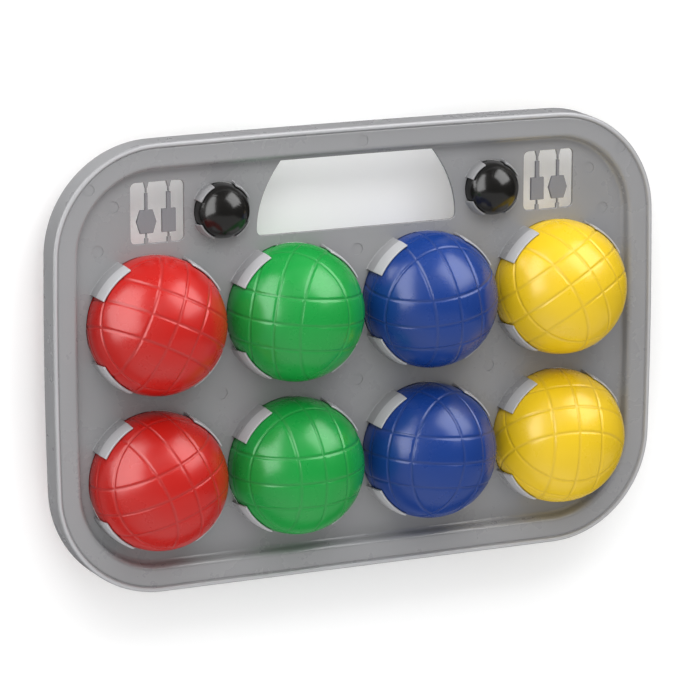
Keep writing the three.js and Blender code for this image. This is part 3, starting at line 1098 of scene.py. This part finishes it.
TRAY_GREY = (0.27, 0.27, 0.278)
PEG_GREY = (0.22, 0.22, 0.235)
JACK_BLACK = (0.009, 0.0085, 0.008)
BALL_COLOURS = {
    "red": (0.44, 0.009, 0.006),
    "green": (0.007, 0.27, 0.042),
    "blue": (0.006, 0.036, 0.20),
    "yellow": (0.72, 0.48, 0.010),
}
tray_plastic = plastic(
    "tray_satin_grey",
    TRAY_GREY,
    0.27,
    grain=(2600.0, 0.006 * MM),
    drift=0.06,
    handling=0.4,
    # The bead's crest gets a painted highlight in this pale grey, with real rubbing added where
    # handled.
    wear_and_highlight=bead_wear_and_highlight,
    wear_and_highlight_colour=(0.62, 0.62, 0.64),
    wear_and_highlight_rough=0.1,
)
peg_plastic = plastic(
    "peg_satin_grey",
    PEG_GREY,
    0.34,
    grain=(2200.0, 0.006 * MM),
    drift=0.08,
    handling=0.4,
    wear_and_highlight=light_scuff,
    wear_and_highlight_colour=(0.4, 0.4, 0.42),
    wear_and_highlight_rough=0.1,
)
ball_plastics = {}
for colour, tone in BALL_COLOURS.items():
    ball_plastics[colour] = plastic(
        f"ball_gloss_{colour}",
        tone,
        0.27,
        grain=(900.0, 0.002 * MM),
        drift=0.07,
        handling=0.35,
        wear_and_highlight=groove_dust,
        wear_and_highlight_colour=[0.35 * part + 0.05 for part in tone],
        wear_and_highlight_rough=0.22,
    )
jack_plastic = plastic(
    "jack_gloss_black",
    JACK_BLACK,
    0.2,
    grain=(1400.0, 0.0015 * MM),
    drift=0.2,
    handling=0.35,
    wear_and_highlight=light_scuff,
    wear_and_highlight_colour=(0.05, 0.05, 0.05),
    wear_and_highlight_rough=0.1,
)
print("plastics: tray, pegs, jacks and", len(ball_plastics), "balls' colours")

# %% [markdown]
# The liquid in the balls is never seen unless a shell is lifted off. It still gets its own finish:
# a faintly blue, very smooth body with slow cloudiness.

# %% Mix the filling
CLOUD_SCALE = 40.0
RIPPLE_SCALE = 60.0
RIPPLE_DEPTH = 0.02 * MM
WATER_IOR = 1.33


def cloudy_liquid(name, colour):
    material = bpy.data.materials.new(name)
    material.use_nodes = True
    nodes = Nodes(material.node_tree)
    place = nodes.add("ShaderNodeTexCoord").outputs["Object"]
    base = (*colour, 1)
    clouded = use(nodes, DRIFT, Vector=place, Color=base, Scale=CLOUD_SCALE, Amount=0.3)["Color"]
    ripples = use(nodes, GRAIN, Vector=place, Scale=RIPPLE_SCALE, Waviness=2.0)["Height"]
    rough = nodes.ramp(ripples, 0.5, 2.5, 0.03, 0.08)
    inputs = {"Height": ripples, "Strength": 1.0, "Distance": RIPPLE_DEPTH}
    bump = nodes.add("ShaderNodeBump", inputs).outputs["Normal"]
    inputs = {"Base Color": clouded, "Roughness": rough, "Normal": bump, "IOR": WATER_IOR}
    shader = nodes.add("ShaderNodeBsdfPrincipled", inputs)
    nodes.add("ShaderNodeOutputMaterial", {"Surface": shader.outputs["BSDF"]})
    return material


liquid = cloudy_liquid("cloudy_filling", (0.48, 0.55, 0.6))
print("filling:", liquid.name)

# %% [markdown]
# Every modelled piece now takes its finish, stands for the plain design piece it replaces and
# moves with that piece's body. The fillings keep their design shape and only get a finish.

# %% Finish the pieces and put them on their bodies
def finish_piece(piece, material, body, node):
    """Gives the piece its finish, in place of a design node and on a body."""
    piece.data.materials.clear()
    piece.data.materials.append(material)
    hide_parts(node)
    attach(piece, body)


finish_piece(tray, tray_plastic, "tray", "tray")
for node, peg in pegs.items():
    finish_piece(peg, peg_plastic, "tray", node)
for (colour, row), shell in shells.items():
    ball = f"{colour}_ball_{row}"
    finish_piece(shell, ball_plastics[colour], ball, ball + "_shell")
    finish_piece(plugs[colour, row], ball_plastics[colour], ball, ball + "_plug")
    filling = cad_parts[ball + "_filling"]
    filling.data.materials.clear()
    filling.data.materials.append(liquid)
for side, piece in jacks.items():
    finish_piece(piece, jack_plastic, f"jack_{side}", f"jack_{side}")
print("finished:", 1 + len(pegs) + len(shells) + len(plugs) + len(jacks), "pieces")

# %% [markdown]
# The floor is a plain pale sheet that glows a little, like paper lit from below, which keeps the
# shadow under the tray soft. It is left out of the balls' reflections, as their lower halves would
# otherwise turn white.

# %% Lay the floor
FLOOR_SIZE = 12
PAPER = (0.9, 0.9, 0.9)
PAPER_GLOW = 0.13


def lay_floor():
    put_down()
    bpy.ops.mesh.primitive_grid_add(x_subdivisions=2, y_subdivisions=2, size=FLOOR_SIZE)
    floor = bpy.context.object
    floor.name = "floor"
    material = bpy.data.materials.new("pale_paper")
    material.use_nodes = True
    nodes = Nodes(material.node_tree)
    place = nodes.add("ShaderNodeTexCoord").outputs["Object"]
    tone = use(nodes, DRIFT, Vector=place, Color=(*PAPER, 1), Scale=3.0, Amount=0.02)["Color"]
    glow = {"Emission Color": tone, "Emission Strength": PAPER_GLOW}
    shader = nodes.add("ShaderNodeBsdfPrincipled", {"Base Color": tone, "Roughness": 0.9, **glow})
    nodes.add("ShaderNodeOutputMaterial", {"Surface": shader.outputs["BSDF"]})
    floor.data.materials.append(material)
    floor.visible_glossy = False


lay_floor()

# %% [markdown]
# At the end the scene is brought up to date.

# %% Bring the scene up to date
bpy.context.view_layer.update()
